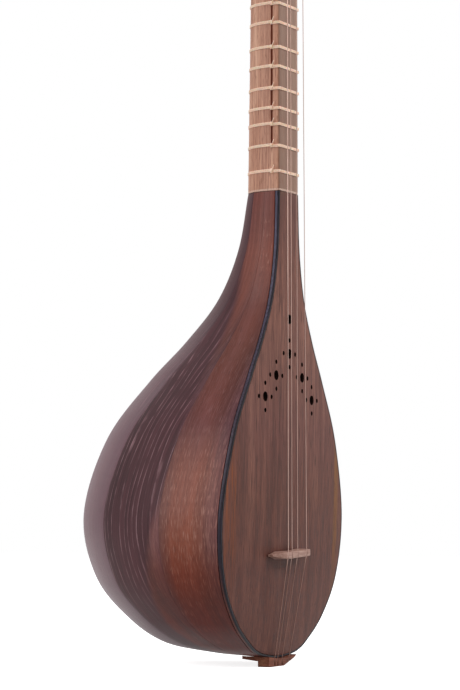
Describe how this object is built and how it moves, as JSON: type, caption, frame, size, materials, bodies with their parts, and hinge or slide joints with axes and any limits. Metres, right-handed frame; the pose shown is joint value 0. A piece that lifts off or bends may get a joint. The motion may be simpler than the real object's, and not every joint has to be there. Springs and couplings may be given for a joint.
{
  "type": "long-necked lute",
  "caption": "Setar, a long-necked lute: ribbed pear-shaped bowl, thin board with drilled sound holes, tied sliding frets, turning friction pegs and plain strings.",
  "frame": {"origin": "on the centre line, on the flat underside of the tail holder, the lowest point of the upright instrument", "axes": "+Z along the neck from the tail to the head; the board and strings face -Y; +X is to the right as seen from the front"},
  "size_m": [0.1572, 0.154, 0.8308],
  "materials": {
    "bowl_wood": "dark red-brown glossy varnish",
    "plain_wood": "raw pale wood, unfinished",
    "board_wood": "brown satin wood with fine grain",
    "dark_strip": "near-black stained wood",
    "neck_wood": "light reddish brown satin wood",
    "head_wood": "light reddish brown satin wood",
    "bone": "polished bone",
    "bridge_wood": "pale pinkish hardwood",
    "holder_wood": "brown satin wood",
    "string_steel": "plain drawn wire",
    "peg_wood": "dark turned hardwood",
    "gut": "cream gut, slightly translucent"
  },
  "bodies": {
    "body": {"bowl_rib_1": "bowl_wood", "bowl_rib_2": "bowl_wood", "bowl_rib_3": "bowl_wood", "bowl_rib_4": "bowl_wood", "bowl_rib_5": "bowl_wood", "bowl_rib_6": "bowl_wood", "bowl_rib_7": "bowl_wood", "neck_block": "plain_wood", "tail_block": "plain_wood", "soundboard": "board_wood", "board_brace": "plain_wood", "edge_strip_left": "dark_strip", "edge_strip_right": "dark_strip", "neck": "neck_wood", "head": "head_wood", "nut": "bone", "bridge": "bridge_wood", "tail_holder": "holder_wood", "string_1": "string_steel", "string_2": "string_steel", "string_3": "string_steel", "string_4": "string_steel"},
    "peg_1_turning": {"peg_1": "peg_wood", "peg_winding_1": "string_steel"},
    "peg_2_turning": {"peg_2": "peg_wood", "peg_winding_2": "string_steel"},
    "peg_3_turning": {"peg_3": "peg_wood", "peg_winding_3": "string_steel"},
    "peg_4_turning": {"peg_4": "peg_wood", "peg_winding_4": "string_steel"},
    "fret_01_sliding": {"fret_01": "gut"},
    "fret_02_sliding": {"fret_02": "gut"},
    "fret_03_sliding": {"fret_03": "gut"},
    "fret_04_sliding": {"fret_04": "gut"},
    "fret_05_sliding": {"fret_05": "gut"},
    "fret_06_sliding": {"fret_06": "gut"},
    "fret_07_sliding": {"fret_07": "gut"},
    "fret_08_sliding": {"fret_08": "gut"},
    "fret_09_sliding": {"fret_09": "gut"},
    "fret_10_sliding": {"fret_10": "gut"},
    "fret_11_sliding": {"fret_11": "gut"},
    "fret_12_sliding": {"fret_12": "gut"},
    "fret_13_sliding": {"fret_13": "gut"},
    "fret_14_sliding": {"fret_14": "gut"},
    "fret_15_sliding": {"fret_15": "gut"},
    "fret_16_sliding": {"fret_16": "gut"},
    "fret_17_sliding": {"fret_17": "gut"},
    "fret_18_sliding": {"fret_18": "gut"},
    "fret_19_sliding": {"fret_19": "gut"},
    "fret_20_sliding": {"fret_20": "gut"},
    "fret_21_sliding": {"fret_21": "gut"},
    "fret_22_sliding": {"fret_22": "gut"},
    "fret_23_sliding": {"fret_23": "gut"},
    "fret_24_sliding": {"fret_24": "gut"},
    "fret_25_sliding": {"fret_25": "gut"},
    "fret_26_sliding": {"fret_26": "gut"}
  },
  "joints": [
    {"name": "peg_1_turn", "type": "hinge", "parent": "body", "child": "peg_1_turning", "pos_m": [-0.01149, 0.00235, 0.7408], "axis": [-1, 0, 0], "continuous": true},
    {"name": "peg_2_turn", "type": "hinge", "parent": "body", "child": "peg_2_turning", "pos_m": [-0.01117, 0.00377, 0.7828], "axis": [-1, 0, 0], "continuous": true},
    {"name": "peg_3_turn", "type": "hinge", "parent": "body", "child": "peg_3_turning", "pos_m": [0, -0.00594, 0.7618], "axis": [0, -1, 0], "continuous": true},
    {"name": "peg_4_turn", "type": "hinge", "parent": "body", "child": "peg_4_turning", "pos_m": [0, -0.00451, 0.8038], "axis": [0, -1, 0], "continuous": true},
    {"name": "fret_01_slide", "type": "slide", "parent": "body", "child": "fret_01_sliding", "axis": [0, 0, 1], "range_m": [-0.003, 0.003]},
    {"name": "fret_02_slide", "type": "slide", "parent": "body", "child": "fret_02_sliding", "axis": [0, 0, 1], "range_m": [-0.003, 0.003]},
    {"name": "fret_03_slide", "type": "slide", "parent": "body", "child": "fret_03_sliding", "axis": [0, 0, 1], "range_m": [-0.003, 0.003]},
    {"name": "fret_04_slide", "type": "slide", "parent": "body", "child": "fret_04_sliding", "axis": [0, 0, 1], "range_m": [-0.003, 0.003]},
    {"name": "fret_05_slide", "type": "slide", "parent": "body", "child": "fret_05_sliding", "axis": [0, 0, 1], "range_m": [-0.003, 0.003]},
    {"name": "fret_06_slide", "type": "slide", "parent": "body", "child": "fret_06_sliding", "axis": [0, 0, 1], "range_m": [-0.003, 0.003]},
    {"name": "fret_07_slide", "type": "slide", "parent": "body", "child": "fret_07_sliding", "axis": [0, 0, 1], "range_m": [-0.003, 0.003]},
    {"name": "fret_08_slide", "type": "slide", "parent": "body", "child": "fret_08_sliding", "axis": [0, 0, 1], "range_m": [-0.003, 0.003]},
    {"name": "fret_09_slide", "type": "slide", "parent": "body", "child": "fret_09_sliding", "axis": [0, 0, 1], "range_m": [-0.003, 0.003]},
    {"name": "fret_10_slide", "type": "slide", "parent": "body", "child": "fret_10_sliding", "axis": [0, 0, 1], "range_m": [-0.003, 0.003]},
    {"name": "fret_11_slide", "type": "slide", "parent": "body", "child": "fret_11_sliding", "axis": [0, 0, 1], "range_m": [-0.003, 0.003]},
    {"name": "fret_12_slide", "type": "slide", "parent": "body", "child": "fret_12_sliding", "axis": [0, 0, 1], "range_m": [-0.003, 0.003]},
    {"name": "fret_13_slide", "type": "slide", "parent": "body", "child": "fret_13_sliding", "axis": [0, 0, 1], "range_m": [-0.003, 0.003]},
    {"name": "fret_14_slide", "type": "slide", "parent": "body", "child": "fret_14_sliding", "axis": [0, 0, 1], "range_m": [-0.003, 0.003]},
    {"name": "fret_15_slide", "type": "slide", "parent": "body", "child": "fret_15_sliding", "axis": [0, 0, 1], "range_m": [-0.003, 0.003]},
    {"name": "fret_16_slide", "type": "slide", "parent": "body", "child": "fret_16_sliding", "axis": [0, 0, 1], "range_m": [-0.003, 0.003]},
    {"name": "fret_17_slide", "type": "slide", "parent": "body", "child": "fret_17_sliding", "axis": [0, 0, 1], "range_m": [-0.003, 0.003]},
    {"name": "fret_18_slide", "type": "slide", "parent": "body", "child": "fret_18_sliding", "axis": [0, 0, 1], "range_m": [-0.003, 0.003]},
    {"name": "fret_19_slide", "type": "slide", "parent": "body", "child": "fret_19_sliding", "axis": [0, 0, 1], "range_m": [-0.003, 0.003]},
    {"name": "fret_20_slide", "type": "slide", "parent": "body", "child": "fret_20_sliding", "axis": [0, 0, 1], "range_m": [-0.003, 0.003]},
    {"name": "fret_21_slide", "type": "slide", "parent": "body", "child": "fret_21_sliding", "axis": [0, 0, 1], "range_m": [-0.003, 0.003]},
    {"name": "fret_22_slide", "type": "slide", "parent": "body", "child": "fret_22_sliding", "axis": [0, 0, 1], "range_m": [-0.003, 0.003]},
    {"name": "fret_23_slide", "type": "slide", "parent": "body", "child": "fret_23_sliding", "axis": [0, 0, 1], "range_m": [-0.003, 0.003]},
    {"name": "fret_24_slide", "type": "slide", "parent": "body", "child": "fret_24_sliding", "axis": [0, 0, 1], "range_m": [-0.003, 0.003]},
    {"name": "fret_25_slide", "type": "slide", "parent": "body", "child": "fret_25_sliding", "axis": [0, 0, 1], "range_m": [-0.003, 0.003]},
    {"name": "fret_26_slide", "type": "slide", "parent": "body", "child": "fret_26_sliding", "axis": [0, 0, 1], "range_m": [-0.003, 0.003]}
  ]
}
